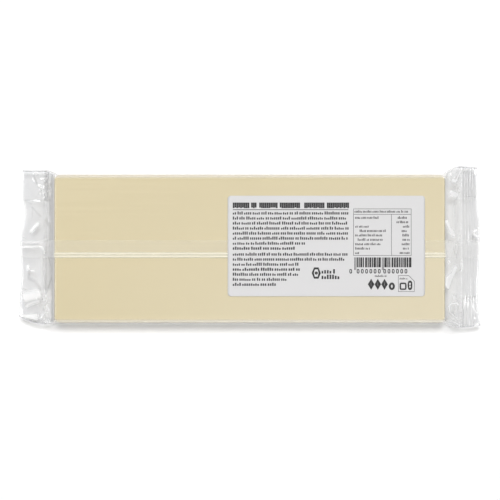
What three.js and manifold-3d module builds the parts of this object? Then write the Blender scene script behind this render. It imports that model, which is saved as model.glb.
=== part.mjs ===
import * as THREE from "three";
import Module from "manifold-3d";
import { mergeVertices } from "three/addons/utils/BufferGeometryUtils.js";

// A block of nougat sealed in clear film, lying with its label and its long seam up.
// X runs along the pack, Y across it and Z up, in millimetres. Z is 0 where the pack rests.
// Every Y below is counted from the block's middle. The end fins lie a little to its +Y side,
// and the whole is shifted at the end, so that the origin is under the middle of the pack.

// Driving dimensions
const BLOCK_LENGTH = 198.6;
const BLOCK_WIDTH = 75.4;
const BLOCK_HEIGHT = 27;
const EDGE_RADIUS = 1.1;
const FIN_THICKNESS = 0.9;
const FIN_OFFSET_Y = 0.9;

const LABEL_LENGTH = 100;
const LABEL_WIDTH = 51;
const LABEL_CORNER = 1.6;
const LABEL_CORNER_STEPS = 5;
const LABEL_THICKNESS = 0.25;
const LABEL_MIDDLE = { x: 38.8, y: 1.4 };
const LABEL_GAP = 0.3;
// The label is cut from a sheet that is this much larger on every side.
const SHEET_MARGIN = 2;

const HALF_LENGTH = BLOCK_LENGTH / 2;
const HALF_WIDTH = BLOCK_WIDTH / 2;
const FLAT_HALF = HALF_WIDTH - EDGE_RADIUS;
const FIN_LEVEL = BLOCK_HEIGHT / 2;

// The seam is a flap that lies flat on top and ends in two ridges: [Y, height above the block].
const SEAM_PROFILE = [
  [4.0, 0],
  [3.7, 0.2],
  [-2.1, 0.2],
  [-2.5, 0.45],
  [-2.9, 0.2],
  [-3.5, 0.2],
  [-3.9, 0.45],
  [-4.3, 0.2],
  [-4.6, 0],
];

// Where the points of a cross-section lie between the block's edge and the seam
const ACROSS = [FLAT_HALF, 31, 26, 21, 16, 11, 7];

// The corners of a cross-section are slim in a fin, grow with the section's height by this share
// of it, and stop at the block's own radius.
const FIN_CORNER = FIN_THICKNESS / 3;
const CORNER_GROWTH = 0.05;

// Each end: root is how far past the block the two sheets of film meet. The free edge is given as
// [Y, distance past the block], and the fin's two side edges at the root and at the free edge.
// tuck is how deep the film is folded in at the sides before the fin. The fin sways along Y by up to
// sway, over swayLength, droops towards its free edge, and has ribs of ribHeight across it.
const LEFT_END = {
  direction: -1,
  root: 6.6,
  freeEdge: [
    [-34.8, 19.6],
    [-28, 19.2],
    [-11.4, 18.3],
    [4, 18.9],
    [19.4, 16.2],
    [28.5, 17.8],
    [40.5, 17.8],
  ],
  high: { root: 40.4, free: 40.5 },
  low: { root: -39, free: -34.8 },
  tuck: 9,
  sway: 1.1,
  swayLength: 58,
  droop: 1.2,
  ribs: 2,
  ribHeight: 0.1,
};
const RIGHT_END = {
  direction: 1,
  root: 9.7,
  freeEdge: [
    [-39.6, 19.6],
    [-31.2, 18.5],
    [-21.2, 18.1],
    [-8.3, 18.9],
    [9.7, 19.2],
    [25.3, 17.7],
    [42, 17.8],
  ],
  high: { root: 42.6, free: 42 },
  low: { root: -40.8, free: -39.6 },
  tuck: 9,
  sway: 0.8,
  swayLength: 74,
  droop: 0.6,
  ribs: 5,
  ribHeight: 0.3,
};
const WEDGE_STEPS = 6;
const STEPS_PER_RIB = 4;

const { lerp, smoothstep } = THREE.MathUtils;

// The value at y of a smooth line through [y, value] points in rising order of y.
function along(points, y) {
  const after = points.findIndex(([at]) => at > y);
  if (after === 0) return points[0][1];
  if (after === -1) return points.at(-1)[1];
  const [[y0, v0], [y1, v1]] = [points[after - 1], points[after]];
  return lerp(v0, v1, smoothstep(y, y0, y1));
}

// A cross-section's points across the top, from the +Y edge to the -Y edge, as [Y, relief].
function acrossTop() {
  const far = ACROSS.map((y) => [y, 0]);
  const near = far.map(([y]) => [-y, 0]).reverse();
  return [...far, ...SEAM_PROFILE, ...near];
}

// One closed ring of points round the pack. It starts at the middle of the +Y side and goes over the
// top, so that points i and length - i lie one above the other.
function ring({ xAt, top, bottom, middle, high, low, tuck }) {
  const corner = Math.min(EDGE_RADIUS, FIN_CORNER + CORNER_GROWTH * (top - bottom));
  const place = (y, z) => new THREE.Vector3(xAt(y), y, z + middle(y));
  const upper = (level, sign, withRelief) => {
    const z = (height) => sign * height;
    const arc = (edge, angle) => {
      const inner = edge - Math.sign(edge) * corner;
      return place(
        inner + Math.sign(edge) * corner * Math.cos(angle),
        z(level - corner + corner * Math.sin(angle)),
      );
    };
    const side = (edge) => [
      place(edge - (Math.sign(edge) * tuck) / 2, z((level - corner) / 2)),
      arc(edge, 0),
      arc(edge, Math.PI / 4),
    ];
    const across = acrossTop().map(([y, relief]) => {
      const reach = y > 0 ? high - corner : -low - corner;
      return place((y * reach) / FLAT_HALF, z(level) + (withRelief ? relief : 0));
    });
    return [...side(high), ...across, ...side(low).reverse()];
  };
  return [
    place(high - tuck, 0),
    ...upper(top, 1, true),
    place(low + tuck, 0),
    ...upper(-bottom, -1, false).reverse(),
  ];
}

// The rings of one end, from the block outwards.
function endRings(end) {
  const rings = [];
  const x = (distance) => end.direction * (HALF_LENGTH + distance);
  for (let i = 0; i <= WEDGE_STEPS; i++) {
    const s = i / WEDGE_STEPS;
    const half = lerp(BLOCK_HEIGHT / 2, FIN_THICKNESS / 2, s);
    rings.push(
      ring({
        xAt: () => x(end.root * s),
        top: half,
        bottom: -half,
        middle: () => FIN_LEVEL,
        high: lerp(HALF_WIDTH, end.high.root, s),
        low: lerp(-HALF_WIDTH, end.low.root, s),
        tuck: end.tuck * Math.sin(Math.PI * s),
      }),
    );
  }
  const steps = end.ribs * STEPS_PER_RIB;
  for (let i = 1; i <= steps; i++) {
    const t = i / steps;
    const phase = (y) => (2 * Math.PI * y) / end.swayLength;
    const rib = end.ribHeight * Math.sin(2 * Math.PI * end.ribs * t);
    rings.push(
      ring({
        xAt: (y) => x(lerp(end.root, along(end.freeEdge, y), t)),
        top: FIN_THICKNESS / 2,
        bottom: -FIN_THICKNESS / 2,
        middle: (y) =>
          FIN_LEVEL + rib + end.sway * t * Math.sin(phase(y)) - end.droop * t * t,
        high: lerp(end.high.root, end.high.free, t),
        low: lerp(end.low.root, end.low.free, t * t),
        tuck: 0,
      }),
    );
  }
  return rings;
}

// A closed surface through rings that all run the same way, shut at both ends.
function loft(rings) {
  const count = rings[0].length;
  const index = [];
  const quad = (a, b, c, d) => index.push(a, c, b, a, d, c);
  for (let r = 0; r + 1 < rings.length; r++) {
    for (let i = 0; i < count; i++) {
      const next = (i + 1) % count;
      const [here, there] = [r * count, (r + 1) * count];
      quad(here + i, there + i, there + next, here + next);
    }
  }
  const shut = (start, faceOut) => {
    for (let i = 0; i < count / 2; i++) {
      const over = [start + i, start + i + 1];
      const under = [start + ((count - i) % count), start + count - i - 1];
      if (faceOut) quad(over[0], over[1], under[1], under[0]);
      else quad(over[0], under[0], under[1], over[1]);
    }
  };
  shut(0, true);
  shut((rings.length - 1) * count, false);
  const positions = rings.flat().flatMap((p) => p.toArray());
  const made = new THREE.BufferGeometry();
  made.setAttribute("position", new THREE.Float32BufferAttribute(positions, 3));
  made.setIndex(
    index.filter((_, i) => {
      const [a, b, c] = index.slice(i - (i % 3), i - (i % 3) + 3);
      return a !== b && b !== c && a !== c;
    }),
  );
  return made;
}

// The pack as one body: the block, the film that tapers off its ends, and the two fins.
function packGeometry() {
  return loft([...endRings(LEFT_END).reverse(), ...endRings(RIGHT_END)]);
}

const wasm = await Module();
wasm.setup();
const MERGE_DISTANCE = 1e-4;

function toManifold(geometry) {
  geometry.deleteAttribute("normal");
  geometry.deleteAttribute("uv");
  const merged = mergeVertices(geometry, MERGE_DISTANCE);
  return new wasm.Manifold(
    new wasm.Mesh({
      numProp: 3,
      vertProperties: merged.attributes.position.array,
      triVerts: new Uint32Array(merged.index.array),
    }),
  );
}

function toGeometry(solid) {
  const { vertProperties, triVerts } = solid.getMesh();
  const made = new THREE.BufferGeometry();
  made.setAttribute("position", new THREE.BufferAttribute(vertProperties, 3));
  made.setIndex(new THREE.BufferAttribute(triVerts, 1));
  return made;
}

// A rectangle with round corners, centred on the origin.
function roundRectangle(length, width, radius) {
  const [x, y] = [length / 2, width / 2];
  const shape = new THREE.Shape();
  shape.moveTo(radius - x, -y);
  shape.lineTo(x - radius, -y);
  shape.absarc(x - radius, radius - y, radius, -Math.PI / 2, 0);
  shape.absarc(x - radius, y - radius, radius, 0, Math.PI / 2);
  shape.absarc(radius - x, y - radius, radius, Math.PI / 2, Math.PI);
  shape.absarc(radius - x, radius - y, radius, Math.PI, (3 * Math.PI) / 2);
  return shape;
}

// The sticker: a thin sheet that follows the seam's relief, cut to its outline.
function labelGeometry() {
  const edge = LABEL_WIDTH / 2 + SHEET_MARGIN;
  const relief = SEAM_PROFILE.map(([y, height]) => [y - LABEL_MIDDLE.y, height]);
  const line = [[edge, 0], ...relief, [-edge, 0]];
  const lift = BLOCK_HEIGHT + LABEL_GAP;
  const under = line.map(([y, height]) => new THREE.Vector2(y, lift + height));
  const over = under.map((p) => new THREE.Vector2(p.x, p.y + LABEL_THICKNESS));
  const section = new THREE.Shape([...under, ...over.reverse()]);
  const sheet = new THREE.ExtrudeGeometry(section, {
    depth: LABEL_LENGTH + 2 * SHEET_MARGIN,
    bevelEnabled: false,
  });
  // The section's axes become Y and Z, and its depth becomes X.
  sheet.applyMatrix4(
    new THREE.Matrix4().makeBasis(
      new THREE.Vector3(0, 1, 0),
      new THREE.Vector3(0, 0, 1),
      new THREE.Vector3(1, 0, 0),
    ),
  );
  sheet.translate(-LABEL_LENGTH / 2 - SHEET_MARGIN, 0, 0);
  const outline = new THREE.ExtrudeGeometry(
    roundRectangle(LABEL_LENGTH, LABEL_WIDTH, LABEL_CORNER),
    {
      depth: 2 * BLOCK_HEIGHT,
      bevelEnabled: false,
      curveSegments: LABEL_CORNER_STEPS,
    },
  );
  return toGeometry(toManifold(sheet).intersect(toManifold(outline)));
}

const nougatCream = new THREE.MeshStandardMaterial({
  color: 0xe0d3b1,
  roughness: 0.4,
  metalness: 0,
});
const labelWhite = new THREE.MeshStandardMaterial({
  color: 0xe4e3e3,
  roughness: 0.55,
  metalness: 0,
});

function part(name, geometry, material, position = new THREE.Vector3()) {
  const mesh = new THREE.Mesh(geometry, material);
  mesh.name = name;
  mesh.position.copy(position);
  return mesh;
}

const pack = new THREE.Group();
pack.add(
  part("sealed_pack", packGeometry(), nougatCream),
  part(
    "label",
    labelGeometry(),
    labelWhite,
    new THREE.Vector3(LABEL_MIDDLE.x, LABEL_MIDDLE.y, 0),
  ),
);
pack.position.y = -FIN_OFFSET_Y;

export default pack;
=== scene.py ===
from collections import namedtuple

import bpy
import numpy as np
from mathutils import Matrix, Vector


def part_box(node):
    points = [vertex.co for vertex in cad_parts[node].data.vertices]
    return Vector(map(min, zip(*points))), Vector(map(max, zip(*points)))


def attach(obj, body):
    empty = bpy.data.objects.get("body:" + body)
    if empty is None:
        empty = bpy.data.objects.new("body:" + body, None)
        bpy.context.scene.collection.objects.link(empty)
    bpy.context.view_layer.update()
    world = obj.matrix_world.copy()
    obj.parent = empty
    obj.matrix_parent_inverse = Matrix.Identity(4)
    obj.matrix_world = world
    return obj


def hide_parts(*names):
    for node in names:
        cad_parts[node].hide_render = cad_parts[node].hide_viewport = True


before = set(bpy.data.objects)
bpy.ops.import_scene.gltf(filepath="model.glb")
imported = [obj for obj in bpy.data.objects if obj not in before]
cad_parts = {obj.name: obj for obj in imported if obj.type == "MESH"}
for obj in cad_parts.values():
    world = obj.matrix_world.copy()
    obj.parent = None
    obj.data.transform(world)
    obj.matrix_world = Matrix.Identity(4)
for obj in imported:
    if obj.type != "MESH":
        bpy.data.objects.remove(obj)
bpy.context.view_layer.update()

# A block of nougat sealed in clear film, lying with its paper label and its long seam up.
# Lengths are millimetres and become metres where a mesh is made. X runs along the pack, Y across
# it from the block's middle, and Z up. The fins lie a little to +Y, so the pack's own middle does.
MM = 0.001
FIN_OFFSET_Y = 0.9

BLOCK_LENGTH, BLOCK_WIDTH, BLOCK_HEIGHT = 198.6, 75.4, 27
EDGE_RADIUS = 1.1
HALF_LENGTH, HALF_WIDTH, HALF_HEIGHT = BLOCK_LENGTH / 2, BLOCK_WIDTH / 2, BLOCK_HEIGHT / 2

# The film: how far it stands off the nougat, half a fin's thickness, and how deep the sides of
# the bag are folded in between the two sheets of a fin.
FILM_GAP = 0.15
FIN_HALF = 0.3
FOLD_DEPTH = 15.5
FOLD_EDGE_RADIUS = 0.12

# How round the nougat is at its corners in plan and at its rims
BLOCK_CORNER, BLOCK_RIM = 3.0, 0.9

# Each end: root is how far past the block the two sheets meet, bulge how full the film is before
# that, and flare how soon its sides spread. The free edge is (Y, distance past the block), and
# high and low are the two side edges at the root and at the free edge. A fin sways along Y,
# droops, and may have sealing ribs.
End = namedtuple(
    "End",
    "direction root bulge flare free_edge high low sway sway_length droop ribs creases pleats gathers",
)
# A crease runs through its points, each (distance past the block, Y). Its height is at the crest, and
# its two flanks reach left and right of its direction. Its painted light is above 0 where the film is
# painted milky white along it, partly milky film and partly a painted highlight, and below 0 where it
# is painted darker, partly doubled film and partly painted shade.
Crease = namedtuple("Crease", "points height left right tone", defaults=[0])
# A shaded pleat is a line where the film is painted darker, shade being how much: partly film that lies
# doubled on itself, partly painted shade.
Pleat = namedtuple("Pleat", "points width shade")
# Where film is gathered it is full of small creases: round which point, how widely spread, how many,
# how large, and how far their painted light goes to either side of 0, as painted highlight above it and
# painted shade below it.
Gather = namedtuple("Gather", "past y spread_past spread_y count size tone")

LEFT_CREASES = [
    Crease([(14.8, 24.8), (7, 24.7)], 0.2, 0.5, 0.4, 0.3),
    Crease([(12, 24.7), (8.2, 24.7)], 0.1, 0.5, 0.4, 0.7),
    Crease([(9, 13.9), (11.2, 11.4), (13.9, 8.2)], 0.25, 0.6, 1, 0.9),
    Crease([(18.2, 5.8), (15.6, 5.6)], 0.15, 0.3, 0.3, 0.4),
    Crease([(18, 3.1), (8.4, 3.1)], 0.15, 0.5, 0.5, 0.4),
    Crease([(18.4, 1.05), (8.3, 1)], 0.2, 0.5, 0.5, 0.85),
    Crease([(8.8, 1.4), (7, 0.4), (6.1, -3.2)], 0.25, 0.5, 0.5, 0.6),
    Crease([(7.9, 6), (7.4, -4), (7.8, -10), (7.1, -22)], 0.06, 0.6, 0.8, 0.12),
    Crease([(14.6, -8.2), (14.8, -11.4)], 0.25, 0.8, 0.8, 0.9),
    Crease([(14.2, -11.5), (10.8, -11.3)], 0.2, 0.4, 0.6, 0.75),
    Crease([(18.2, -25.8), (13, -24.4), (7.6, -23.4)], 0.1, 2.8, 3.4, 1.15),
    Crease([(16.8, -29.8), (12.4, -27.6), (8, -26.6)], 0.06, 1.9, 1.8, 0.5),
    Crease([(13.6, -22.6), (8.8, -22.8)], 0.15, 0.7, 0.9, 0.8),
    Crease([(19.2, -33), (9.4, -33.6)], 0.35, 3, 3),
    Crease([(18.9, -34.5), (9, -34.2)], 0.08, 0.7, 0.8, 1),
    Crease([(18.7, -34.6), (8.8, -35.4)], 0.06, 0.7, 0.8, 1.2),
    Crease([(18.3, -34.8), (8.8, -36.6)], 0.08, 0.7, 0.8, 0.9),
    Crease([(8.6, 36.2), (6.2, 35.8)], 0.25, 0.6, 0.6, 0.9),
    Crease([(9.6, 33), (8, 32.2)], 0.2, 0.7, 0.7, 1),
    Crease([(12.8, 39), (8.8, 38.4)], 0.15, 0.8, 0.8, 0.35),
    Crease([(12.6, 37.5), (10.6, 33.4)], 0.15, 0.7, 0.9),
    Crease([(5.4, -24), (3, -29)], 0.1, 1.2, 1.2, 0.3),
]
# Painted shade on the left end: lines and bands where the film is painted darker.
LEFT_SHADED_PLEATS = [
    Pleat([(5.2, 24.5), (5.4, 9)], 0.4, 0.75),
    Pleat([(5.3, 2), (5.4, -10), (5.5, -22)], 0.4, 0.75),
    Pleat([(3.6, -3.6), (2.4, -7.6), (0.9, -11.5)], 0.7, 0.8),
    Pleat([(0.9, -11.5), (1.8, -16), (5.2, -23)], 0.8, 0.7),
    Pleat([(2.4, 25), (2.4, 4.5)], 3.4, 0.55),
    Pleat([(2.2, 3), (2.2, -20)], 2.8, 0.45),
    Pleat([(3, 4.5), (3, -3)], 0.8, 0.6),
    Pleat([(14.5, -12.8), (14.6, -15.2), (11, -17), (8.4, -21)], 1.3, 0.24),
    Pleat([(16.6, 24.7), (13, 23)], 0.5, 0.2),
    Pleat([(12.7, 21.3), (8.4, 16.8)], 0.8, 0.22),
    Pleat([(12.7, 21.3), (12.6, 16.5)], 0.6, 0.14),
    Pleat([(8.9, 12.4), (11.8, 9)], 0.4, 0.2),
    Pleat([(18, 2.1), (8.6, 2.1)], 0.25, 0.35),
    Pleat([(12.2, 37.9), (10.3, 33.4)], 0.9, 0.22),
    Pleat([(5.4, 39.6), (5.2, 36.8)], 0.7, 0.6),
    Pleat([(2.2, 33.5), (2.2, 29.5)], 0.8, 0.5),
    Pleat([(1, 37), (1, -37)], 1.7, 0.6),
    Pleat([(18.4, -34.8), (12, -37.2), (5.4, -38.9)], 0.45, 0.15),
    Pleat([(5.3, 4), (5.4, -20.5)], 2.6, 0.42),
    Pleat([(4.8, 38), (5, 6)], 2.8, 0.62),
]
RIGHT_CREASES = [
    Crease([(1.9, 38.3), (4.1, 37.6)], 0.3, 0.4, 0.5, 0.45),
    Crease([(9.9, 40.8), (7.2, 36.6), (6.3, 34.2)], 0.3, 0.7, 0.8, 1.4),
    Crease([(7.1, 34.2), (3, 35)], 0.3, 0.9, 1.5, 1.6),
    Crease([(7.2, 38), (5.3, 35.9), (4.2, 36.1)], 0.2, 0.3, 0.3, 0.35),
    Crease([(2, 29.8), (8.6, 27.6)], 0.3, 0.6, 2.5, 1.7),
    Crease([(4.9, 26), (5, 15.5)], 0.25, 0.5, 0.9, 0.15),
    Crease([(0.6, 15.4), (2.9, 10.2), (6, 6)], 0.3, 0.4, 1.5, 1.6),
    Crease([(4.4, 9.9), (6, 6.9)], 0.15, 0.3, 0.3, 0.25),
    Crease([(8.6, 7.2), (8.5, 4.4)], 0.2, 0.4, 0.4, 0.8),
    Crease([(8.8, 2.3), (5.4, 2.2)], 0.2, 0.4, 0.4, 0.6),
    Crease([(6.9, 2.4), (6.1, -3.9)], 0.4, 0.4, 0.5, 0.6),
    Crease([(4.9, 0.8), (4.9, -3.9)], 0.3, 0.4, 0.5, 0.45),
    Crease([(1.4, -5.2), (3, -7.4)], 0.3, 0.7, 0.9, 1.1),
    Crease([(7.3, -8.6), (5.3, -12.6), (3.2, -16.6), (1.6, -21)], 0.3, 0.4, 2.2, 1.6),
    Crease([(4.4, -12.6), (1.4, -15.2), (0.9, -20)], 0.2, 0.9, 1.5, 1.3),
    Crease([(10, -5.4), (9.9, -9.8), (8.2, -12.6)], 0.2, 0.4, 0.5, 0.35),
    Crease([(0.9, -30), (3.2, -28), (6.7, -27.8), (8.1, -29.1)], 0.4, 0.5, 0.7, 1.2),
    Crease([(2.4, -28.2), (2.3, -32.6)], 0.3, 0.7, 0.7, 0.8),
    Crease([(5.4, -22.4), (4.6, -27.6)], 0.2, 1.8, 1.8, 0.4),
    Crease([(1.8, -32), (6.7, -35.5), (8.8, -39)], 0.4, 0.4, 0.5, 0.6),
    Crease([(1.6, -34.3), (5.6, -36.6), (8.4, -39.6)], 0.3, 0.4, 0.4, 0.4),
    Crease([(1.6, -36.4), (6.3, -38), (9.2, -40.3)], 0.4, 0.4, 0.5, 0.6),
    Crease([(10.9, -24.6), (10.9, -32.6)], 0.1, 0.4, 0.4, 0.7),
    Crease([(12.8, -26.6), (12.7, -32)], 0.08, 0.3, 0.3, 0.35),
    Crease([(14.6, -24.6), (14.9, -29.2), (17.6, -34.1)], 0.12, 0.4, 0.4, 0.5),
    Crease([(13.6, -36.4), (13.5, -40.5)], 0.08, 0.4, 0.4, 0.35),
    Crease([(13.2, 10), (13.3, 0.8)], 0.08, 0.4, 0.4, 0.3),
    Crease([(18.4, 10.4), (15.2, 8.3)], 0.03, 1.1, 0.8, 1),
    Crease([(15.2, 8.3), (18.6, 5.6)], 0.03, 1.1, 0.8, 1),
    Crease([(15.9, -40), (18.9, -38.1)], 0.3, 0.5, 1.5, 1.2),
    Crease([(16.1, -35.1), (16.9, -36.3)], 0.15, 0.7, 0.7, 1.2),
    Crease([(16.3, 40.5), (16.6, 37.9)], 0.15, 0.5, 0.5, 0.8),
    Crease([(13.5, -26), (13.6, -41)], 0.02, 5.5, 5.5, 0.32),
    Crease([(5.5, -24), (6.5, -39)], 0.02, 3, 3, 0.3),
]
# Painted shade on the right end: lines and bands where the film is painted darker.
RIGHT_SHADED_PLEATS = [
    Pleat([(-0.1, 37), (-0.1, -37)], 0.9, 0.4),
    Pleat([(1, 37), (1, -37)], 1.4, 0.2),
    Pleat([(5, 36), (5, -38)], 6.5, 0.1),
    Pleat([(7.6, 21.5), (7.2, 13.5)], 1, 0.14),
    Pleat([(8.7, -6.4), (8.6, -11.2)], 0.6, 0.25),
    Pleat([(8.4, -12.6), (8.8, -18.8)], 0.7, 0.1),
    Pleat([(9.6, -32.8), (10.3, -40.6)], 1.2, 0.2),
    Pleat([(16.8, 37.6), (16.8, 25.4)], 0.9, 0.13),
    Pleat([(16, -7), (16, -24)], 0.3, 0.14),
    Pleat([(18.2, -30.6), (18.2, -34)], 0.5, 0.16),
    Pleat([(2.6, 36.2), (6, 33.6)], 0.4, 0.25),
    Pleat([(2.9, -33.2), (7.9, -37), (9.4, -40)], 0.3, 0.3),
    Pleat([(2, -35.4), (6.2, -37.3), (8.8, -40)], 0.3, 0.3),
]
LEFT_END = End(
    direction=-1,
    root=6.6,
    bulge=1.05,
    flare=3,
    free_edge=[
        (-34.8, 19.6), (-28, 19.2), (-11.4, 18.3), (4, 18.9), (19.4, 16.2), (28.5, 17.8), (40.5, 17.8)
    ],
    high=(40.4, 40.5),
    low=(-39, -34.8),
    sway=0.6,
    sway_length=58,
    droop=0.3,
    ribs=0,
    creases=LEFT_CREASES,
    pleats=LEFT_SHADED_PLEATS,
    gathers=[
        Gather(6, 32.8, 1.8, 3.4, 60, 0.6, 0.8),
        Gather(6.2, -34.6, 1.7, 2.2, 36, 0.6, 0.5),
        Gather(6.4, -29, 1.4, 3, 20, 0.7, 0.4),
        Gather(5.6, 2, 0.9, 14, 12, 0.7, 0.4),
    ],
)
RIGHT_END = End(
    direction=1,
    root=9.7,
    bulge=1.08,
    flare=2,
    free_edge=[
        (-39.6, 19.6), (-31.2, 18.5), (-21.2, 18.1), (-8.3, 18.9), (9.7, 19.2), (25.3, 17.7), (42, 17.8)
    ],
    high=(42.6, 42),
    low=(-40.8, -39.6),
    sway=0.6,
    sway_length=74,
    droop=0.3,
    ribs=6,
    creases=RIGHT_CREASES,
    pleats=RIGHT_SHADED_PLEATS,
    gathers=[
        Gather(6.5, 33, 2.2, 3.6, 6, 0.8, 0.3),
        Gather(6.5, -34, 2.2, 3, 6, 0.8, 0.3),
        Gather(6.5, 0, 2, 12, 10, 0.9, 0.2),
    ],
)

# Creases and shaded pleats darken or whiten the film, with painted shade and painted highlights, from
# this far past the block on.
TONES_START = -1
# A sealing rib's height in a fin's middle, and how much higher ribs are where the sides are tucked
# in, by the seam, and here and there.
RIB_HEIGHT, RIB_MORE_IN_TUCK, RIB_MORE_BY_SEAM, RIB_UNEVEN = 0.014, 0.014, 0.01, 0.005

# How finely the film is made: its points across each sheet, down one flank of a side fold and
# round one of its edges, and its steps along the block, a tapered end and a fin.
TOP_POINTS, BOTTOM_POINTS = 270, 90
FLANK_POINTS = 22
ARC_POINTS = 4
BLOCK_STEPS = 22
EDGE_STEPS = 7
WEDGE_STEPS = 38
FIN_STEPS = 50

# The long seam is a flap of film that lies on top: (Y, height above the sheet), and its beads' Y.
FLAP_PROFILE = [(-4.8, 0.04), (-4.5, 0.2), (4.0, 0.2), (4.3, 0.04)]
FLAP_BEADS = (-2.5, -3.9)
BEAD_HEIGHT, BEAD_HALF = 0.2, 0.55
FLAP_POINTS = 40

# The label, from its solid
LABEL_LOW, LABEL_HIGH = (np.array(corner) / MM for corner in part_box("label"))
LABEL_LENGTH, LABEL_WIDTH = (LABEL_HIGH - LABEL_LOW)[:2]
LABEL_X = (LABEL_LOW[0] + LABEL_HIGH[0]) / 2
LABEL_Y = (LABEL_LOW[1] + LABEL_HIGH[1]) / 2 + FIN_OFFSET_Y
LABEL_CORNER = 1.6
LABEL_THICKNESS = 0.2
# The paper bridges the two beads under it: (Y, height above the block)
LABEL_RELIEF = [(-6.4, 0), (-4.0, 0.3), (-2.0, 0.3), (4.2, 0.12), (6.0, 0)]
INK_LIFT, INK_THICKNESS = 0.01, 0.02

# How milky the film is painted: painted light at the block's long edges, a painted highlight, and at
# the ends' side edges; milky film in the seam flap over the block, and as a share of that over the
# ends; and a painted highlight in the flap's beads
EDGE_PAINTED_LIGHT, SIDE_PAINTED_LIGHT, FLAP_HAZE, FLAP_HAZE_PAST, BEAD_HIGHLIGHT = 0.32, 0.85, 0.17, 0.35, 0.68
# How much painted highlight on its crest and painted shade beside it a millimetre of a rib's height
# puts on the film, and the most milky and lit the film is painted
RIB_HIGHLIGHT, RIB_SHADE, MOST_HAZE_AND_HIGHLIGHT = 11.0, 8.0, 0.8
# The least painted shade of the film between two ribs
BETWEEN_RIBS_SHADE = 0.05

# Colours. The doubled film colour is painted shade, for film that lies doubled or is shaded darker, and
# the tinted milk is painted light, the nougat's colour on milky film over it. Nougat has one pair of
# colours for its left end, and one for its label's end.
FILM_CLEAR, FILM_DOUBLED_AND_SHADED = (0.872, 0.877, 0.889), (0.3, 0.3, 0.31)
FILM_FOLDED, FILM_TIGHT, FILM_WELDED = (0.998,) * 3, (0.99,) * 3, (0.995,) * 3
FILM_MILK_AND_HIGHLIGHT, NOUGAT_LIT_MILK = (0.95, 0.95, 0.95), (0.95, 0.915, 0.78)
NOUGAT_PALE, NOUGAT_DEEP = (0.666, 0.583, 0.380), (0.642, 0.555, 0.349)
NOUGAT_PALE_AT_LABEL, NOUGAT_DEEP_AT_LABEL = (0.717, 0.648, 0.476), (0.692, 0.617, 0.440)
NOUGAT_STREAK = (0.735, 0.65, 0.435)
PAPER_WHITE, PAPER_SHADE = (0.656, 0.65, 0.653), (0.636, 0.63, 0.634)
INK_DARK, INK_DARK_WORN = (0.012, 0.012, 0.013), (0.03, 0.03, 0.03)
INK_FINE, INK_FINE_WORN = (0.02, 0.02, 0.022), (0.05, 0.05, 0.05)
FLOOR_WHITE, FLOOR_GLOW = (0.74, 0.74, 0.74), 0.27
SCREEN_GLOW = 0.6
WORLD_GREY = 0.12

# The photograph's camera looks straight down from over the pack's middle.
CAMERA_HEIGHT = 872
CAMERA_LENS, CAMERA_SENSOR = 120, 36
CAMERA_X, CAMERA_Y = 0.13, -0.63

# Lengths up to this, in millimetres or metres, are as good as nothing.
TINY = 1e-6


def lerp(a, b, t):
    return a + (b - a) * t


def smoothstep(t):
    t = np.clip(t, 0, 1)
    return t * t * (3 - 2 * t)


def along(points, at):
    """The value at each place of a smooth line through (place, value) points in rising order."""
    places, values = np.array(points, float).T
    after = np.clip(np.searchsorted(places, at, side="right"), 1, len(places) - 1)
    share = (at - places[after - 1]) / (places[after] - places[after - 1])
    return lerp(values[after - 1], values[after], smoothstep(share))


def noise(x, y, seed):
    """Smooth seeded noise from -1 to 1, one swing to a unit, that repeats after a period."""
    period = 64
    table = np.random.default_rng(seed).uniform(-1, 1, (period, period))
    column, row = np.floor(x).astype(int), np.floor(y).astype(int)
    across, up = smoothstep(x - column), smoothstep(y - row)

    def corner(i, j):
        return table[(column + i) % period, (row + j) % period]

    near = lerp(corner(0, 0), corner(1, 0), across)
    return lerp(near, lerp(corner(0, 1), corner(1, 1), across), up)


# The film's shape


def along_line(points, past, y):
    """For each piece of a line: how far along it places are, how far to its right, how far beyond
    its two ends, and its length."""
    for (x0, y0), (x1, y1) in zip(points, points[1:]):
        run = np.hypot(x1 - x0, y1 - y0)
        on = ((past - x0) * (x1 - x0) + (y - y0) * (y1 - y0)) / run
        side = ((past - x0) * (y1 - y0) - (y - y0) * (x1 - x0)) / run
        yield on, side, np.maximum(np.maximum(-on, on - run), 0), run


def crease_share(crease, past, y):
    """How near points this far past the block are to a crease's crest, from 0 to 1. The crest is
    a little rounded, and the crease tapers off at its two ends."""
    rounding = 0.12
    pieces = list(along_line(crease.points, past, y))
    share = 0
    for i, (on, side, beyond, run) in enumerate(pieces):
        reach = np.where(side > 0, crease.right, crease.left)
        fall = np.hypot(np.hypot(side, beyond) / reach, rounding) - rounding
        taper = np.clip(run / 3, 0.6, 2.0)
        ends = smoothstep(on / taper) if i == 0 else 1
        if i == len(pieces) - 1:
            ends = ends * smoothstep((run - on) / taper)
        share = np.maximum(share, np.clip(1 - fall, 0, 1) * ends)
    return share


def pleat_shade(end, past, y):
    """How much painted shade the shaded pleats put on the film at points this far past the block."""
    shade = np.zeros(np.broadcast(past, y).shape)
    for shaded_pleat in end.pleats:
        for _, side, beyond, _ in along_line(shaded_pleat.points, past, y):
            near = smoothstep(1 - np.hypot(side, beyond) / shaded_pleat.width)
            shade = np.maximum(shade, shaded_pleat.shade * near)
    return shade


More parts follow.
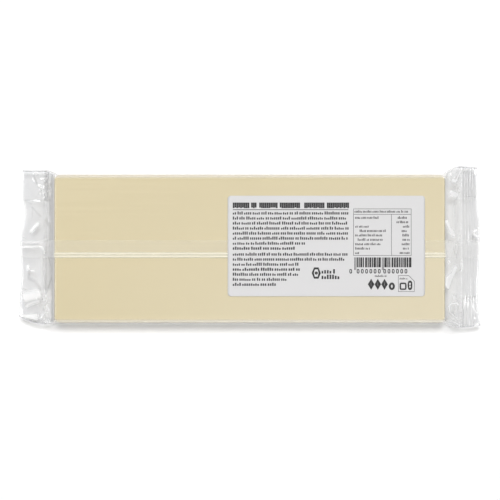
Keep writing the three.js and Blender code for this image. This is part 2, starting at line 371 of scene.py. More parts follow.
def small_creases(gather, draw):
    """The small creases of a gather, from a seeded draw."""
    for _ in range(gather.count):
        past = draw.normal(gather.past, gather.spread_past)
        y = draw.normal(gather.y, gather.spread_y)
        angle, length = draw.uniform(0, np.pi), gather.size * draw.uniform(1.4, 4.2)
        step = np.array([np.cos(angle), np.sin(angle)]) * length / 2
        middle = np.array([past, y])
        left, right = gather.size * draw.uniform(0.4, 1.0, 2)
        height = gather.size * draw.uniform(0.12, 0.4)
        # Each small crease's painted light is drawn at random: above 0 a painted highlight, below 0
        # painted shade.
        tone = draw.uniform(-gather.tone, gather.tone)
        yield Crease([middle - step, middle + step], height, left, right, tone)


def all_creases(end):
    draw = np.random.default_rng(11 + end.direction)
    return end.creases + [crease for gather in end.gathers for crease in small_creases(gather, draw)]


ALL_CREASES = {end.direction: all_creases(end) for end in (LEFT_END, RIGHT_END)}


def rib_wave(end, share, y):
    """The sealing ribs of a fin, from -1 to 1, and how high they are."""
    tucked = smoothstep((np.abs(y) - 23) / 3)
    by_seam = np.exp(-(((y - 4) / 7) ** 2))
    height = RIB_HEIGHT + RIB_MORE_IN_TUCK * tucked + RIB_MORE_BY_SEAM * by_seam
    height = height + RIB_UNEVEN * noise(y / 5, share * 3, 6)
    wobble = 0.15 * noise(y / 9, share * 2, 5)
    wave = np.sin(2 * np.pi * (end.ribs * share + wobble)) if end.ribs else np.zeros_like(y)
    return wave, height * smoothstep(share / 0.15) * smoothstep((1 - share) / 0.4)


def fin_wave(end, share, y):
    """How a fin's middle rises and falls, at this share of the way to its free edge."""
    sway = end.sway * share * np.sin(2 * np.pi * y / end.sway_length)
    wave, height = rib_wave(end, share, y)
    return sway - end.droop * share**2 + wave * height


def relief(end, past, y):
    """How far the top sheet of an end is lifted by its creases and by slack in the film."""
    start, rise = -0.3, 2.5
    lifted = sum(c.height * crease_share(c, past, y) for c in ALL_CREASES[end.direction])
    slack = 0.08 * noise(past / 5, y / 7, 3) + 0.015 * noise(past / 2.2, y / 3, 4)
    return (lifted + slack) * smoothstep((past - start) / rise)


def streaks(x, y):
    """The film over the block is drawn tight along it, in long low streaks."""
    return 0.03 * noise(x / 40, y / 3.1, 8) + 0.02 * noise(x / 17, y / 1.4, 9)


def film_half_height(end, past):
    """How far a sheet is from the middle of the pack's height: full over the block, then in, with
    a rounded turn between the two."""
    share = np.clip(past / end.root, 0, 1)
    taper = HALF_HEIGHT * (1 - share**end.bulge) ** (1 / end.bulge)
    line = taper - min(past, 0) * HALF_HEIGHT / end.root
    turned = (HALF_HEIGHT + line - np.hypot(HALF_HEIGHT - line, EDGE_RADIUS)) / 2
    return max(turned, FIN_HALF)


# A place along the pack: its end, how far past the block it is, at most as far as the end's root,
# and its share of the way from there to the free edge.
Station = namedtuple("Station", "end past share")


def stations():
    """Where the film's rings stand, from the left free edge to the right one."""
    block_edge = 3

    def one_end(end):
        over = [Station(end, past, 0) for past in np.linspace(-block_edge, 0, EDGE_STEPS)]
        wedge = [Station(end, end.root * s, 0) for s in np.linspace(0, 1, WEDGE_STEPS + 1)[1:]]
        fin = [Station(end, end.root, t) for t in np.linspace(0, 1, FIN_STEPS + 1)[1:]]
        return over + wedge + fin

    middle = [
        Station(LEFT_END if x < 0 else RIGHT_END, abs(x) - HALF_LENGTH, 0)
        for x in np.linspace(block_edge - HALF_LENGTH, HALF_LENGTH - block_edge, BLOCK_STEPS)[1:-1]
    ]
    return one_end(LEFT_END)[::-1] + middle + one_end(RIGHT_END)


def film_section(station):
    """The film's half height, side edges, fold depth and edge radius at a station."""
    end, past, share = station
    closing = 40
    tapered = np.clip(past / end.root, 0, 1)
    half = film_half_height(end, past)
    if share:
        half = FIN_HALF * (1 - share**closing)
    spread = 1 - (1 - tapered) ** end.flare
    high = lerp(lerp(HALF_WIDTH, end.high[0], spread), end.high[1], share)
    low = lerp(lerp(-HALF_WIDTH, end.low[0], spread), end.low[1], share**2)
    fold = FOLD_DEPTH * tapered
    radius = min(EDGE_RADIUS, FOLD_EDGE_RADIUS + half / 9, half)
    return half, high, low, fold, radius


def film_reach(station, y):
    """How far past the block a station's points are: its ring follows the free edge in a fin."""
    return station.past + station.share * (along(station.end.free_edge, y) - station.end.root)


def film_point(station, y, height):
    """Film points at y, this far above the middle of the pack's height."""
    end, past, share = station
    y, height = np.broadcast_arrays(np.asarray(y, float), np.asarray(height, float))
    half = max(film_section(station)[0], TINY)
    reach = film_reach(station, y)
    x = end.direction * (HALF_LENGTH + reach)
    in_fin = smoothstep((past - end.root + 3) / 3)
    upper = np.clip(height / half, -1, 1)
    drawn = streaks(x, y) * np.maximum(upper, 0) * (past < 0)
    own = relief(end, reach, y) * lerp(upper, 1, in_fin) + drawn
    return np.stack([x, y, HALF_HEIGHT + height + own + fin_wave(end, share, y) * in_fin], -1)


def film_tones(station, y):
    """How milky and lit and how dark the top sheet is painted, from its creases, its shaded pleats and
    a seal's ribs: painted highlight and painted shade, partly milky and doubled film.
    """
    past = film_reach(station, y)
    toned = [c.tone * crease_share(c, past, y) for c in ALL_CREASES[station.end.direction] if c.tone]
    wave, height = rib_wave(station.end, station.share, y)
    in_fin = smoothstep(station.share / 0.1)
    # A rib's crest gets a painted highlight and its sides painted shade.
    on_ribs = RIB_HIGHLIGHT * height
    between_ribs = RIB_SHADE * height + BETWEEN_RIBS_SHADE * in_fin
    haze = np.clip(np.max(toned, axis=0), on_ribs * smoothstep(wave), MOST_HAZE_AND_HIGHLIGHT)
    shade = np.maximum(pleat_shade(station.end, past, y), between_ribs * smoothstep(-wave))
    return haze, np.maximum(shade, -np.min(toned, axis=0))


def painted_edge_light(station, ring):
    """Painted light: how much the film is painted milky white where it is drawn over the block's long
    edges, a painted highlight along the rim.
    """
    reach = 1.2
    rim = EDGE_RADIUS + reach
    out = np.abs(ring[:, 1]) - HALF_WIDTH + rim
    up = np.abs(ring[:, 2] - HALF_HEIGHT) - HALF_HEIGHT + rim
    return EDGE_PAINTED_LIGHT * smoothstep(out) * smoothstep(up) * (station.past < 0)


def painted_side_light(station, ring):
    """Painted light: how much the film is painted milky white where it turns at the side edges of the
    ends, lightening the shade along them.
    """
    _, high, low, _, _ = film_section(station)
    reach, fade, rise = 0.45, 0.3, 3
    away = np.minimum(np.abs(ring[:, 1] - high), np.abs(ring[:, 1] - low))
    return SIDE_PAINTED_LIGHT * smoothstep((reach - away) / fade) * smoothstep(station.past / rise)


def film_ring(station):
    """A closed ring of points: the top sheet, the low side, the bottom sheet, the high side."""
    half, high, low, fold, radius = film_section(station)

    def sheet(start, stop, count, height):
        return film_point(station, np.linspace(start, stop, count), height)

    def side(edge):
        """From the top sheet down: an arc, the flanks of the inward fold, and an arc."""
        out = np.sign(edge)
        angle = np.linspace(np.pi / 2, 0, ARC_POINTS + 1)[1:]
        arc_y = edge - out * radius * (1 - np.cos(angle))
        arc_z = half - radius * (1 - np.sin(angle))
        down = np.linspace(0, 1, FLANK_POINTS + 1)[1:]
        flank_y = edge - out * fold * down
        flank_z = (half - radius) * (1 - down)
        y = np.concatenate([arc_y, flank_y, flank_y[-2::-1], arc_y[::-1]])
        z = np.concatenate([arc_z, flank_z, -flank_z[-2::-1], -arc_z[::-1]])
        return film_point(station, y, z)

    return np.concatenate([
        sheet(high - radius, low + radius, TOP_POINTS, half),
        side(low),
        sheet(low + radius, high - radius, BOTTOM_POINTS, -half),
        side(high)[::-1],
    ])


# Making meshes


def add_object(name, data):
    made = bpy.data.objects.new(name, data)
    bpy.context.scene.collection.objects.link(made)
    return made


def add_piece(name, points, faces, materials, replaced, face_materials=None, layers=None):
    """One piece of the pack, from points in millimetres, and layers of one number a point."""
    mesh = bpy.data.meshes.new(name)
    placed = (np.asarray(points, float).reshape(-1, 3) - [0, FIN_OFFSET_Y, 0]) * MM
    mesh.from_pydata(placed.tolist(), [], [list(map(int, face)) for face in faces])
    for material in materials:
        mesh.materials.append(material)
    if face_materials is not None:
        mesh.polygons.foreach_set("material_index", np.asarray(face_materials, np.int32))
    mesh.polygons.foreach_set("use_smooth", np.ones(len(mesh.polygons), bool))
    for layer, values in (layers or {}).items():
        made = mesh.attributes.new(layer, "FLOAT", "POINT")
        made.data.foreach_set("value", np.asarray(values, np.float32).ravel())
    mesh.validate()
    mesh.update()
    piece = add_object(name, mesh)
    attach(piece, "root")
    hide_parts(replaced)
    return piece


def loft_faces(rings, count):
    """Quads between closed rings of count points each."""
    ring, point = np.meshgrid(np.arange(rings - 1), np.arange(count), indexing="ij")
    here, there = ring * count, (ring + 1) * count
    after = (point + 1) % count
    quads = np.stack([here + point, there + point, there + after, here + after], -1)
    return quads.reshape(-1, 4)


def end_faces(rings, count):
    """Quads that close the two ends of a loft whose rings go out on one face and back on the other."""
    last = (rings - 1) * count
    quads = []
    for i in range(count // 2 - 1):
        j = count - 1 - i
        quads.append([i, i + 1, j - 1, j])
        quads.append([last + i, last + j, last + j - 1, last + i + 1])
    return quads


def add_film(loose, folded, tight):
    """The bag: one sheet of film round the block, folded in at the sides and flat in the fins. Past
    the block, its folds and its bottom sheet, which show through the top one, are the folded film."""
    line = stations()
    rings = [film_ring(station) for station in line]
    count = len(rings[0])
    films = [loose, folded, tight]
    is_loose, is_folded, is_tight = range(3)
    side_points = 2 * (ARC_POINTS + FLANK_POINTS) - 1
    bottom = TOP_POINTS + side_points
    in_ring = np.full(count, is_loose)
    for side in (TOP_POINTS, bottom + BOTTOM_POINTS):
        start = side + ARC_POINTS
        in_ring[start:start + 2 * FLANK_POINTS - 2] = is_folded
    in_ring[bottom:bottom + BOTTOM_POINTS] = is_folded
    past_block = np.array([station.past > 0 for station in line[:-1]])
    kinds = np.where(past_block[:, None], in_ring, is_tight)
    faces = loft_faces(len(rings), count)
    on_top = np.arange(count) < TOP_POINTS
    # The top sheet's painted shade, and its painted highlights and milky film, with painted light along
    # the edges.
    haze, shade = [], []
    for station, ring in zip(line, rings):
        toned = station.past > TONES_START
        milky_and_lit, dark = film_tones(station, ring[:, 1]) if toned else (0, 0)
        edges = np.maximum(painted_edge_light(station, ring), painted_side_light(station, ring))
        haze.append(np.maximum(edges, milky_and_lit * on_top))
        shade.append(np.broadcast_to(dark * on_top, count))
    layers = {"shade": shade, "haze": haze}
    add_piece("film_bag", rings, faces, films, "sealed_pack", kinds.ravel(), layers)


def bead_share(y):
    """How near places on the seam flap are to the crest of a bead, from 0 to 1."""
    inside = [np.clip(1 - ((y - middle) / BEAD_HALF) ** 2, 0, 1) for middle in FLAP_BEADS]
    return np.sqrt(np.sum(inside, axis=0))


def add_seam_flap(past_block, on_block):
    """The seam: a flat band of film with two beads, from one free edge to the other. Its film is a
    little milky, and its beads over the block are painted white, a painted highlight. Over the block
    its milky film takes the nougat's colour, painted light from the nougat under it."""
    line = stations()
    beads_start, margin = FLAP_BEADS[0] + BEAD_HALF, 0.05
    y = np.concatenate([
        np.linspace(FLAP_PROFILE[-1][0], beads_start + margin, FLAP_POINTS // 3),
        np.linspace(beads_start - margin, FLAP_PROFILE[0][0], FLAP_POINTS),
    ])
    rings, haze = [], []
    for station in line:
        half = film_section(station)[0]
        base = film_point(station, y, half)
        beads = 1 - smoothstep(station.past + 0.5)
        plain_haze = FLAP_HAZE * lerp(1, FLAP_HAZE_PAST, smoothstep(station.past))
        # The beads over the block carry a painted highlight.
        flap_milk_and_highlight = plain_haze + BEAD_HIGHLIGHT * bead_share(y) * beads
        haze.append(np.concatenate([flap_milk_and_highlight, np.full(len(y), plain_haze)]))
        over, under = base.copy(), base.copy()
        over[:, 2] += along(FLAP_PROFILE, y) + BEAD_HEIGHT * bead_share(y) * beads
        under[:, 2] += FLAP_PROFILE[0][1] / 2
        rings.append(np.concatenate([over, under[::-1]]))
    count = 2 * len(y)
    ends = end_faces(len(rings), count)
    faces = np.concatenate([loft_faces(len(rings), count), ends])
    over_block = np.repeat([station.past <= 0 for station in line[:-1]], count)
    kinds = np.concatenate([over_block, np.zeros(len(ends))])
    films = [past_block, on_block]
    add_piece("seam_flap", rings, faces, films, "sealed_pack", kinds, {"haze": haze})


def box_axis(half, radius, step):
    """Places along one axis of a rounded box, closer together where its edges turn."""
    turn = np.linspace(0, radius, 7)
    inner = half - radius
    middle = np.linspace(-inner, inner, max(int(2 * inner / step), 2) + 1)
    return np.concatenate([-half + turn[:-1], middle, inner + turn[1:]])


def rounded(grid, size):
    """Points of a box's surface, drawn in so that its corners in plan and its rims are round."""
    corner, rim = BLOCK_CORNER, BLOCK_RIM
    plan = grid[..., :2]
    inner = np.clip(plan, corner - size[:2], size[:2] - corner)
    out = plan - inner
    reach = np.abs(out).max(-1)
    past_rim = np.clip(reach - corner + rim, 0, None)
    up = np.clip(np.abs(grid[..., 2]) - size[2] + rim, 0, None)
    turned = rim / np.hypot(past_rim, up) - 1
    length = np.maximum(np.linalg.norm(out, axis=-1), TINY)
    out *= ((reach + past_rim * turned) / length)[..., None]
    height = grid[..., 2] + np.sign(grid[..., 2]) * up * turned
    return np.concatenate([inner + out, height[..., None]], -1)


def add_nougat(nougat):
    """The block: soft edges, and faces that are a little uneven, as cast nougat's are."""
    size = np.array([HALF_LENGTH, HALF_WIDTH, HALF_HEIGHT]) - FILM_GAP
    turn = [BLOCK_CORNER, BLOCK_CORNER, BLOCK_RIM]
    step, fading = 2.5, 12
    points, faces = [], []
    for axis in range(3):
        u_axis, v_axis = (axis + 1) % 3, (axis + 2) % 3
        u, v = (box_axis(size[a], turn[a], step) for a in (u_axis, v_axis))
        for sign in (-1, 1):
            grid = np.zeros((len(u), len(v), 3))
            grid[..., axis] = sign * size[axis]
            grid[..., u_axis], grid[..., v_axis] = np.meshgrid(u, v, indexing="ij")
            uneven = 0.1 * noise(grid[..., u_axis] / 23, grid[..., v_axis] / 17, 20 + axis)
            uneven *= 1 - np.abs(grid[..., u_axis] / size[u_axis]) ** fading
            uneven *= 1 - np.abs(grid[..., v_axis] / size[v_axis]) ** fading
            grid = rounded(grid, size)
            grid[..., axis] += sign * uneven
            start = len(points)
            points.extend((grid + [0, 0, HALF_HEIGHT]).reshape(-1, 3))
            i, j = np.meshgrid(np.arange(len(u) - 1), np.arange(len(v) - 1), indexing="ij")
            corner = start + i * len(v) + j
            quads = np.stack([corner, corner + len(v), corner + len(v) + 1, corner + 1], -1)
            quads = quads.reshape(-1, 4)
            faces.extend(quads if sign > 0 else quads[:, ::-1])
    block = add_piece("nougat_block", points, faces, [nougat], "sealed_pack")
    weld(block)


def weld(piece):
    """Joins points that lie in one place."""
    joined = piece.modifiers.new("joined", "WELD")
    joined.merge_threshold = TINY
    bpy.context.view_layer.update()
    state = bpy.context.evaluated_depsgraph_get()
    shaped = bpy.data.meshes.new_from_object(piece.evaluated_get(state))
    piece.modifiers.clear()
    piece.data = shaped


def label_top(x, y):
    """The height of the label's face, which follows the seam under it and isn't quite flat."""
    uneven = 0.03 * noise(x / 18, y / 12, 31)
    return LABEL_LOW[2] + along(LABEL_RELIEF, y) + LABEL_THICKNESS + uneven


def add_label(paper):
    """The label: a thin sheet of paper with round corners that follows the seam under it."""
    half_length, half_width = LABEL_LENGTH / 2, LABEL_WIDTH / 2
    turn = np.linspace(0, np.pi / 2, 7)
    corner_rows = half_width - LABEL_CORNER * (1 - np.sin(turn))
    middle = np.linspace(-corner_rows[0], corner_rows[0], 60)
    rows = np.concatenate([-corner_rows[:0:-1], middle, corner_rows[1:]])
    into_corner = np.clip(np.abs(rows) - corner_rows[0], 0, LABEL_CORNER)
    reach = half_length - LABEL_CORNER + np.sqrt(LABEL_CORNER**2 - into_corner**2)
    x = LABEL_X + reach[:, None] * np.linspace(-1, 1, 81)
    y = np.broadcast_to(LABEL_Y + rows[:, None], x.shape)
    top = np.stack([x, y, label_top(x, y)], -1)
    under = top - [0, 0, LABEL_THICKNESS]
    rings = np.concatenate([top, under[:, ::-1]], axis=1)
    shape = len(rings), rings.shape[1]
    faces = np.concatenate([loft_faces(*shape), end_faces(*shape)])[:, ::-1]
    add_piece("label_sticker", rings, faces, [paper], "label")


# The print, of plain marks in place of words. Places on the label are in millimetres from its
# left and top edges.

RELIEF_LINES = [LABEL_Y + LABEL_WIDTH / 2 - y for y, _ in LABEL_RELIEF]


class Ink:
    """Collects flat shapes on the label and turns them into one thin mesh."""

    def __init__(self):
        self.points, self.faces = [], []

    def strip(self, left, right):
        """A closed thin shape between two lines of points that run the same way."""
        left, right = np.array(left, float), np.array(right, float)
        count, start = len(left), len(self.points)
        for lift in (INK_LIFT + INK_THICKNESS, INK_LIFT):
            for line in (left, right):
                x = LABEL_X - LABEL_LENGTH / 2 + line[:, 0]
                y = LABEL_Y + LABEL_WIDTH / 2 - line[:, 1]
                z = label_top(x, y) + lift
                self.points.extend(np.stack([x, y, z], -1))
        a, b, c, d = (start + k * count for k in range(4))
        for i in range(count - 1):
            self.faces.append([a + i, a + i + 1, b + i + 1, b + i])
            self.faces.append([c + i, d + i, d + i + 1, c + i + 1])
            self.faces.append([a + i, c + i, c + i + 1, a + i + 1])
            self.faces.append([b + i, b + i + 1, d + i + 1, d + i])
        self.faces.append([a, b, d, c])
        stop = count - 1
        self.faces.append([a + stop, c + stop, d + stop, b + stop])

    def bar(self, x, y, width, height):
        """An upright rectangle, with a row of points wherever the paper bends."""
        bends = [line for line in RELIEF_LINES if y < line < y + height]
        rows = sorted([y, y + height, *bends])
        self.strip([(x, row) for row in rows], [(x + width, row) for row in rows])

    def loop(self, points, stroke):
        """An outline of this stroke round closed points, as one strip that meets itself."""
        points = np.array(points, float)
        middle = points.mean(0)
        away = points - middle
        length = np.linalg.norm(away, axis=1, keepdims=True)
        inner = middle + away * (1 - stroke / length)
        closed = np.arange(len(points) + 1) % len(points)
        self.strip(points[closed], inner[closed])

    def add(self, name, material):
        add_piece(name, self.points, self.faces, [material], "label")


def round_points(x, y, width, height, count=24, power=2.0):
    """Points round an ellipse, or a rounder or squarer one, centred on x and y."""
    turn = np.linspace(0, 2 * np.pi, count, endpoint=False)
    c, s = np.cos(turn), np.sin(turn)
    across = np.sign(c) * np.abs(c) ** (2 / power) * width / 2
    down = np.sign(s) * np.abs(s) ** (2 / power) * height / 2
    return np.stack([x + across, y + down], -1)


def words(ink, draw, start, stop, y, size, weight):
    """Plain upright blocks in groups, about as dark and as dense as a line of print this high."""
    heights = (1.0, 1.0, 1.0, 0.8, 1.3)
    block, gap = 0.52 * size * weight, 0.27 * size
    x = start
    while x < stop - size:
        for _ in range(draw.integers(2, 9)):
            if x + block > stop:
                return
            height = size * draw.choice(heights)
            ink.bar(x, y + size / 2 - height, block, height)
            x += block + gap
        x += size * draw.uniform(0.25, 0.45)


def print_title(bold, draw, left, right):
    """A title's line of bars, in six groups, over a rule."""
    middle, height, width, pitch = 4.9, 2.8, 0.86, 0.94
    groups = [(2.6, 10.8), (11.9, 14.8), (16.0, 25.4), (26.4, 37.0), (38.8, 49.2), (50.3, 61.4)]
    for first, last in groups:
        for x in np.arange(first, last - 0.5, pitch):
            bold.bar(x, middle - height / 2, width, height * draw.choice([1, 1, 0.9]))
    bold.bar(left, 6.95, right - left - 0.4, 0.32)


def print_text(small, draw, left, right):
    """Blocks of text: each one's first line, how many lines, and where they end."""
    pitch, size = 2.545, 1.2
    plain, heavy = 1.07, 1.25
    heavy_lines = [(8.97, 7), (34.9, 1), (34.9, 4)]
    text_lines = [
        (8.97, 8, [right] * 6 + [39.6, 35.0]),
        (29.8, 2, [right, 59.4]),
        (34.9, 5, [36.0, 37.1, 37.1, 30.0, 25.4]),
    ]
    for first, count, ends in text_lines:
        for row in range(count):
            weight = heavy if (first, row) in heavy_lines else plain
            words(small, draw, left, ends[row], first + pitch * row, size, weight)


def print_table(small, draw):
    """A table: a frame, a heading, and rows in two columns."""
    left, right, top, foot = 63.7, 93.1, 6.6, 30.4
    head, divider, line = 9.4, 82.9, 0.2
    for x in (left, right - line):
        small.bar(x, top, line, foot - top)
    for y in (top, head, foot - line):
        small.bar(left, y, right - left, line)
    small.bar(divider, head, line, foot - head)
    words(small, draw, left + 0.6, right - 0.8, 8.15, 0.95, 0.8)
    left_ends = [77, None, 71.4, 80.6, 79.4, 78.6, 78.0, 72.6, 68.0]
    indents = [1.0, 0, 1.0, 3.2, 1.0, 2.2, 1.0, 1.0, 1.0]
    right_lengths = [6.0, 6.6, 3.4, 4.0, 3.6, 3.6, 4.0, 3.4, 5.0]
    for row, (stop, indent, length) in enumerate(zip(left_ends, indents, right_lengths)):
        y = 11.25 + 2.225 * row
        if stop:
            words(small, draw, left + indent, stop, y, 1.0, 0.8)
        words(small, draw, right - 0.9 - length, right - 0.8, y, 1.0, 0.8)


def print_bar_code(bold, draw):
    """Upright bars from one to four units wide, with taller pairs, over a row of small rings."""
    left, right, top, height, units = 64.2, 93.1, 31.3, 5.0, 95
    unit = (right - left) / units
    x = 0
    while x < units:
        wide = int(draw.choice([2, 2, 3, 3, 4]))
        guard = x < 3 or 45 <= x < 50 or x >= 92
        bar_width, bar_height = (1, 1.28 * height) if guard else (wide, height)
        bold.bar(left + unit * x, top, unit * bar_width, bar_height)
        x += 2 if guard else wide + int(draw.choice([1, 1, 1, 1, 2]))
    for mark in range(-1, 12):
        mark_x = left + 1.9 + 2.15 * mark + (0.6 if mark > 5 else 0) - (1.6 if mark < 0 else 0)
        bold.loop(round_points(mark_x, 38.3, 1.4, 2.3, 12, 3.0), 0.52)


def print_weight(small, bold, draw):
    """A short line of text, and three diamonds and a ring in place of the weight."""
    words(small, draw, 74.6, 80.9, 40.75, 0.9, 0.7)
    for x in (72.7, 76.1, 79.5):
        bold.loop(round_points(x, 44.9, 3.3, 5.6, 4), 1.6)
    bold.loop(round_points(83.2, 45.9, 3.1, 3.8, 24), 1.1)


def print_signs(small, bold, draw):
    """Plain outlines in place of two signs: one with two lines by it, one in a frame."""
    bold.loop(round_points(44.9, 39.2, 4.6, 6.6, 6), 1.1)
    bold.loop(round_points(44.9, 39.2, 1.6, 1.6, 16), 0.7)
    words(bold, draw, 47.6, 55.4, 38.6, 1.7, 1.0)
    words(bold, draw, 47.6, 56.6, 41.4, 1.7, 1.0)
    left, right, top, foot, cut = 86.4, 94.7, 40.4, 48.7, 2.9
    corners = [(left, top), (right - cut, top), (right, top + cut), (right, foot), (left, foot)]
    small.loop(corners, 0.26)
    bold.loop(round_points(88.9, 45.9, 3.6, 3.8, 20, 4.0), 0.85)
    bold.loop(round_points(92.4, 45.4, 2.4, 4.8, 20, 2.6), 1.1)
    words(small, draw, 87.1, 91.4, 42.1, 0.7, 0.8)


def add_print(ink_dark, ink_fine):
    draw = np.random.default_rng(40)
    small, bold = Ink(), Ink()
    text_left, text_right = 2.6, 61.6
    print_title(bold, draw, text_left, text_right)
    print_text(small, draw, text_left, text_right)
    print_table(small, draw)
    print_bar_code(bold, draw)
    print_weight(small, bold, draw)
    print_signs(small, bold, draw)
    bold.add("print_heavy", ink_dark)
    small.add("print_fine", ink_fine)


# Materials


def add_node(tree, kind, inputs=None, **settings):
    """A shader node with its settings, and its inputs as values or as links from sockets."""
    made = tree.nodes.new("ShaderNode" + kind)
    for key, value in settings.items():
        setattr(made, key, value)
    for key, value in (inputs or {}).items():
        if isinstance(value, bpy.types.NodeSocket):
            tree.links.new(value, made.inputs[key])
        else:
            made.inputs[key].default_value = value
    return made


def new_material(name):
    """An empty material with its tree, and a node for the piece's own coordinates."""
    material = bpy.data.materials.new(name)
    material.use_nodes = True
    tree = material.node_tree
    tree.nodes.clear()
    place = add_node(tree, "TexCoord").outputs["Object"]
    return material, tree, place


def surface(tree, shader):
    """Makes a shader node the surface of its material."""
    add_node(tree, "OutputMaterial", {0: shader.outputs[0]})


def stretched_noise(tree, place, scale, detail):
    """Noise whose grain is scale per metre along each axis."""
    mapping = add_node(tree, "Mapping", {"Vector": place, "Scale": scale})
    inputs = {"Vector": mapping.outputs[0], "Scale": 1.0, "Detail": detail}
    return add_node(tree, "TexNoise", inputs).outputs[0]


def math_node(tree, operation, a, b):
    return add_node(tree, "Math", {0: a, 1: b}, operation=operation).outputs[0]


def bump_node(tree, strength, distance, height):
    inputs = {"Strength": strength, "Distance": distance, "Height": height}
    return add_node(tree, "Bump", inputs).outputs[0]


def colour_mix(tree, factor, a, b):
    made = add_node(tree, "Mix", {0: factor}, data_type="RGBA")
    for socket, value in zip((made.inputs[6], made.inputs[7]), (a, b)):
        if isinstance(value, bpy.types.NodeSocket):
            tree.links.new(value, socket)
        else:
            socket.default_value = (*value, 1)
    return made.outputs[2]


def nougat_material():
    """Cream nougat: a dense smooth paste, with faint clouds, drawn streaks and a fine grain. It
    gets a little paler towards the label's end and the near side."""
    material, tree, place = new_material("nougat_cream")
    axes = add_node(tree, "SeparateXYZ", {"Vector": place}).outputs
    along_x = math_node(tree, "DIVIDE", axes["X"], BLOCK_LENGTH * MM)
    along_y = math_node(tree, "DIVIDE", axes["Y"], BLOCK_WIDTH * MM)
    from_left = math_node(tree, "ADD", along_x, 0.5)
    from_far = math_node(tree, "SUBTRACT", 0.85, along_y)
    towards_label = math_node(tree, "MULTIPLY", from_left, from_far)
    clouds = stretched_noise(tree, place, (22, 30, 30), 3)
    drawn = stretched_noise(tree, place, (9, 420, 300), 2)
    grain = stretched_noise(tree, place, (1500, 1500, 1500), 3)
    pale = colour_mix(tree, towards_label, NOUGAT_PALE, NOUGAT_PALE_AT_LABEL)
    deep = colour_mix(tree, towards_label, NOUGAT_DEEP, NOUGAT_DEEP_AT_LABEL)
    base = colour_mix(tree, clouds, pale, deep)
    streaked = colour_mix(tree, math_node(tree, "MULTIPLY", drawn, 0.22), base, NOUGAT_STREAK)
    bump = bump_node(tree, 0.15, 0.2 * MM, grain)
    rough = math_node(tree, "ADD", math_node(tree, "MULTIPLY", clouds, 0.15), 0.38)
    inputs = {"Base Color": streaked, "Roughness": rough, "Normal": bump}
    shader = add_node(tree, "BsdfPrincipled", inputs)
    surface(tree, shader)
    return material


def film_material(name, tint, roughness, index=1.5, milk_and_highlight_colour=FILM_MILK_AND_HIGHLIGHT):
    """Clear film: it lets light through, and mirrors more of it the lower the angle is. Its shade layer
    paints it darker, and its haze layer paints it milky white, partly milky film and partly painted
    highlight.
    """
    material, tree, place = new_material(name)
    ripple = stretched_noise(tree, place, (500, 500, 500), 2)
    bump = bump_node(tree, 0.12, 0.3 * MM, ripple)
    inside = add_node(tree, "NewGeometry").outputs["Backfacing"]
    indices = {"Factor": inside, "A": index, "B": 1 / index}
    ratio = add_node(tree, "Mix", indices).outputs[0]
    one_face = add_node(tree, "Fresnel", {"IOR": ratio, "Normal": bump}).outputs[0]
    twice, more = math_node(tree, "MULTIPLY", one_face, 2), math_node(tree, "ADD", one_face, 1)
    both_faces = math_node(tree, "DIVIDE", twice, more)
    shade = add_node(tree, "Attribute", attribute_name="shade").outputs["Fac"]
    passed = colour_mix(tree, shade, tint, FILM_DOUBLED_AND_SHADED)
    clear = add_node(tree, "BsdfTransparent", {"Color": passed})
    inputs = {"Color": (1, 1, 1, 1), "Roughness": roughness, "Normal": bump}
    mirror = add_node(tree, "BsdfGlossy", inputs).outputs[0]
    glossy = add_node(tree, "MixShader", {0: both_faces, 1: clear.outputs[0], 2: mirror})
    # Painted highlight and milky film: a white diffuse shader, mixed in by the haze layer.
    haze = add_node(tree, "Attribute", attribute_name="haze").outputs["Fac"]
    milky_and_lit = add_node(tree, "BsdfDiffuse", {"Color": (*milk_and_highlight_colour, 1)})
    mixed = add_node(tree, "MixShader", {0: haze, 1: glossy.outputs[0], 2: milky_and_lit.outputs[0]})
    surface(tree, mixed)
    return material


def paper_material():
    """White label paper with a fine grain and a low sheen."""
    material, tree, place = new_material("label_paper")
    fibre = stretched_noise(tree, place, (2600, 2600, 2600), 4)
    cloud = stretched_noise(tree, place, (70, 70, 70), 2)
    colour = colour_mix(tree, math_node(tree, "MULTIPLY", cloud, 0.5), PAPER_WHITE, PAPER_SHADE)
    bump = bump_node(tree, 0.15, 0.1 * MM, fibre)
    inputs = {"Base Color": colour, "Roughness": 0.5, "Normal": bump}
    shader = add_node(tree, "BsdfPrincipled", inputs)
    surface(tree, shader)
    return material


def ink_material(name, dark, worn):
    """Printed ink, a little uneven where it is thin."""
    material, tree, place = new_material(name)
    patches = stretched_noise(tree, place, (900, 900, 900), 2)
    colour = colour_mix(tree, patches, dark, worn)
    shader = add_node(tree, "BsdfPrincipled", {"Base Color": colour, "Roughness": 0.45})
    surface(tree, shader)
    return material


def floor_material():
    """A white surface that glows a little, as a studio's light table does."""
    material, tree, _ = new_material("studio_floor")
    inputs = {
        "Base Color": (*FLOOR_WHITE, 1),
        "Roughness": 0.9,
        "Specular IOR Level": 0.0,
        "Emission Color": (1, 1, 1, 1),
        "Emission Strength": FLOOR_GLOW,
    }
    shader = add_node(tree, "BsdfPrincipled", inputs)
    surface(tree, shader)
    return material


# The studio


def add_stage(mesh, material):
    """A piece of the studio, which is no part of the pack."""
    mesh.materials.append(material)
    add_object(mesh.name, mesh)


def add_floor():
    half = 4.0
    corners = [(-half, -half, 0), (half, -half, 0), (half, half, 0), (-half, half, 0)]
    floor = bpy.data.meshes.new("studio_floor")
    floor.from_pydata(corners, [], [(0, 1, 2, 3)])
    add_stage(floor, floor_material())


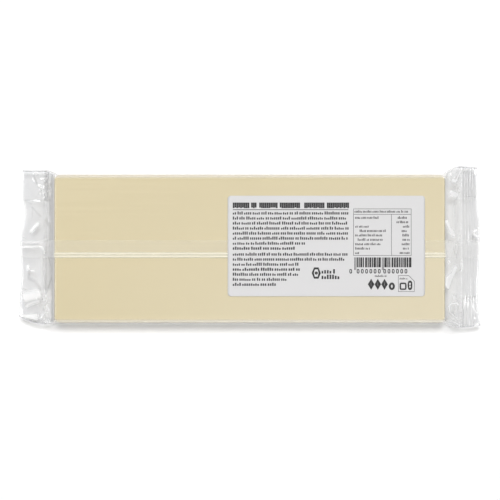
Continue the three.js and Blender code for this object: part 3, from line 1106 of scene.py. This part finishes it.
def add_screen():
    """A low pale screen all round, which the film mirrors at low angles."""
    radius, height, count = 3.5, 1.0, 64
    turn = np.linspace(0, 2 * np.pi, count, endpoint=False)
    ring = [(radius * np.cos(a), radius * np.sin(a)) for a in turn]
    points = [(x, y, 0) for x, y in ring] + [(x, y, height) for x, y in ring]
    faces = [(i, (i + 1) % count, count + (i + 1) % count, count + i) for i in range(count)]
    screen = bpy.data.meshes.new("studio_screen")
    screen.from_pydata(points, [], faces)
    material, tree, _ = new_material("studio_screen")
    glow = add_node(tree, "Emission", {"Color": (1, 1, 1, 1), "Strength": SCREEN_GLOW})
    surface(tree, glow)
    add_stage(screen, material)


def add_lamp(name, toward, tilt, distance, width, length, radiance, lights=True, glints=False):
    """A soft rectangular lamp that faces the pack from a compass angle and a tilt off upright. It
    lights surfaces, shows in glossy ones as glints, or both."""
    lamp = bpy.data.lights.new(name, "AREA")
    lamp.shape = "RECTANGLE"
    lamp.size, lamp.size_y = width, length
    lamp.energy = radiance * width * length * np.pi
    made = add_object(name, lamp)
    azimuth, lean = np.radians(toward), np.radians(tilt)
    out = Vector((np.cos(azimuth) * np.sin(lean), np.sin(azimuth) * np.sin(lean), np.cos(lean)))
    made.location = out * distance
    made.rotation_euler = out.to_track_quat("Z", "Y").to_euler()
    made.visible_diffuse, made.visible_glossy = lights, glints


def add_lamps():
    """A small bright lamp casts the shadows, three wide ones fill them, and five make glints."""
    right, far, left, near = 0, 90, 180, 270
    add_lamp("key", far, tilt=9.5, distance=1.6, width=0.2, length=0.22, radiance=136)
    for name, toward, radiance in [("left", left, 2.2), ("right", right, 2.2), ("far", far, 2.0)]:
        add_lamp(f"fill_{name}", toward, 40, 1.4, 0.9, 0.3, radiance)
    glints = [("left", left, 4.5), ("far", far, 6.5), ("right", right, 5), ("near", near, 6.5)]
    for name, toward, radiance in glints:
        add_lamp(f"glint_{name}", toward, 38, 1.4, 1.2, 0.4, radiance, lights=False, glints=True)
    add_lamp("glint_ceiling", 120, 24, 1.6, 1.0, 1.0, 0.5, lights=False, glints=True)


def add_studio():
    add_floor()
    add_screen()
    add_lamps()
    world = bpy.data.worlds.new("studio")
    world.use_nodes = True
    sky = world.node_tree.nodes["Background"]
    sky.inputs[0].default_value = (1, 1, 1, 1)
    sky.inputs[1].default_value = WORLD_GREY
    scene = bpy.context.scene
    scene.world = world
    scene.view_settings.view_transform = "Standard"
    scene.cycles.transparent_max_bounces = 32
    scene.cycles.max_bounces = 12


def add_camera():
    camera = bpy.data.cameras.new("camera")
    camera.lens, camera.sensor_width = CAMERA_LENS, CAMERA_SENSOR
    made = add_object("camera", camera)
    made.location = np.array([CAMERA_X, CAMERA_Y - FIN_OFFSET_Y, CAMERA_HEIGHT]) * MM
    bpy.context.scene.camera = made


def add_pack():
    loose = film_material("clear_film", FILM_CLEAR, 0.08)
    folded = film_material("clear_film_folded", FILM_FOLDED, 0.08, index=1.22)
    tight = film_material("clear_film_tight", FILM_TIGHT, 0.12, index=1.3)
    welded = film_material("clear_film_welded", FILM_WELDED, 0.1, 1.15)
    nougat_lit_film = film_material("clear_film_tinted", FILM_WELDED, 0.1, 1.15, NOUGAT_LIT_MILK)
    add_nougat(nougat_material())
    add_film(loose, folded, tight)
    add_seam_flap(welded, nougat_lit_film)
    add_label(paper_material())
    dark = ink_material("ink_black", INK_DARK, INK_DARK_WORN)
    add_print(dark, ink_material("ink_fine", INK_FINE, INK_FINE_WORN))


add_camera()
add_studio()
add_pack()
